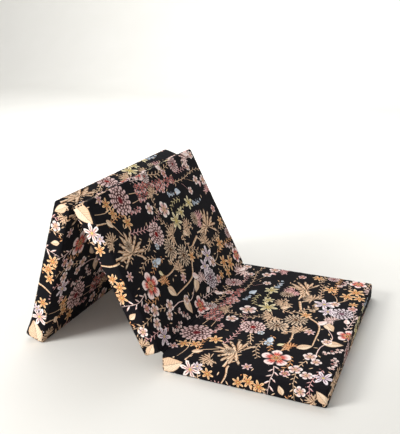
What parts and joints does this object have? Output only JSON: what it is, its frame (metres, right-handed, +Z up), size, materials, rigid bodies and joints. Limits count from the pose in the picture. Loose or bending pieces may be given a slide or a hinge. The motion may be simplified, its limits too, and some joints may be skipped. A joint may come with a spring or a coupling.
{
  "type": "folding futon mattress",
  "caption": "Folding foam mattress in panels with a dark floral cover, one panel flat on the floor and the others raised in a tent; sewn folds turn and zips open.",
  "frame": {"origin": "middle of the half-folded mattress in plan, on the floor under it", "axes": "+X from the raised panels towards the free end of the panel that lies flat; +Y along the folds, towards the zips; +Z up"},
  "size_m": [1.2546, 0.9704, 0.6432],
  "materials": {
    "foam": "open-cell polyurethane foam, pale cream, dry and matt",
    "printed_cover": "tightly woven polyester, near-black with an all-over botanical print in pink, coral, cream, ochre and lilac",
    "zip_tape": "woven black zip tape",
    "zip_teeth": "black nylon coil",
    "zip_metal": "black lacquered zinc"
  },
  "bodies": {
    "panel_1": {"foam_core_1": "foam", "top_cover_1": "printed_cover", "bottom_cover_1": "printed_cover", "side_band_1": "printed_cover", "zip_band_upper_1": "printed_cover", "zip_band_lower_1": "printed_cover", "zip_tape_upper_1": "zip_tape", "zip_tape_lower_1": "zip_tape", "zip_coil_upper_1": "zip_teeth", "zip_coil_lower_1": "zip_teeth", "zip_top_stop_1": "zip_metal", "zip_bottom_stop_1": "zip_metal", "fold_seam_12": "printed_cover"},
    "panel_2": {"foam_core_2": "foam", "top_cover_2": "printed_cover", "bottom_cover_2": "printed_cover", "side_band_2": "printed_cover", "zip_band_upper_2": "printed_cover", "zip_band_lower_2": "printed_cover", "zip_tape_upper_2": "zip_tape", "zip_tape_lower_2": "zip_tape", "zip_coil_upper_2": "zip_teeth", "zip_coil_lower_2": "zip_teeth", "zip_top_stop_2": "zip_metal", "zip_bottom_stop_2": "zip_metal", "fold_seam_23": "printed_cover"},
    "panel_3": {"foam_core_3": "foam", "top_cover_3": "printed_cover", "bottom_cover_3": "printed_cover", "side_band_3": "printed_cover", "zip_band_upper_3": "printed_cover", "zip_band_lower_3": "printed_cover", "zip_tape_upper_3": "zip_tape", "zip_tape_lower_3": "zip_tape", "zip_coil_upper_3": "zip_teeth", "zip_coil_lower_3": "zip_teeth", "zip_top_stop_3": "zip_metal", "zip_bottom_stop_3": "zip_metal"},
    "zip_slider_body_1": {"zip_slider_1": "zip_metal"},
    "zip_slider_body_2": {"zip_slider_2": "zip_metal"},
    "zip_slider_body_3": {"zip_slider_3": "zip_metal"},
    "zip_pull_body_1": {"zip_pull_1": "zip_metal"},
    "zip_pull_body_2": {"zip_pull_2": "zip_metal"},
    "zip_pull_body_3": {"zip_pull_3": "zip_metal"}
  },
  "joints": [
    {"name": "fold_12", "type": "hinge", "parent": "panel_1", "child": "panel_2", "pos_m": [-0.01018, 0, 0.0764], "axis": [0, 1, 0], "range_deg": [-62.8, 117.2]},
    {"name": "fold_23", "type": "hinge", "parent": "panel_2", "child": "panel_3", "pos_m": [-0.37103, 0, 0.61052], "axis": [0, 1, 0], "range_deg": [-43.89, 136.11]},
    {"name": "zip_slide_1", "type": "slide", "parent": "panel_1", "child": "zip_slider_body_1", "axis": [-1, 0, 0], "range_m": [0, 0.538]},
    {"name": "zip_slide_2", "type": "slide", "parent": "panel_2", "child": "zip_slider_body_2", "axis": [0.4571, 0, -0.8894], "range_m": [0, 0.538]},
    {"name": "zip_slide_3", "type": "slide", "parent": "panel_3", "child": "zip_slider_body_3", "axis": [0.2872, 0, 0.9579], "range_m": [0, 0.538]},
    {"name": "zip_pull_turn_1", "type": "hinge", "parent": "zip_slider_body_1", "child": "zip_pull_body_1", "pos_m": [0.57882, 0.48305, 0.038], "axis": [0, 0, -1], "range_deg": [0, 180]},
    {"name": "zip_pull_turn_2", "type": "hinge", "parent": "zip_slider_body_2", "child": "zip_pull_body_2", "pos_m": [-0.31356, 0.48305, 0.58271], "axis": [0.8894, 0, 0.4571], "range_deg": [0, 180]},
    {"name": "zip_pull_turn_3", "type": "hinge", "parent": "zip_slider_body_3", "child": "zip_pull_body_3", "pos_m": [-0.57699, 0.48305, 0.05737], "axis": [0.9579, 0, -0.2872], "range_deg": [0, 180]}
  ]
}
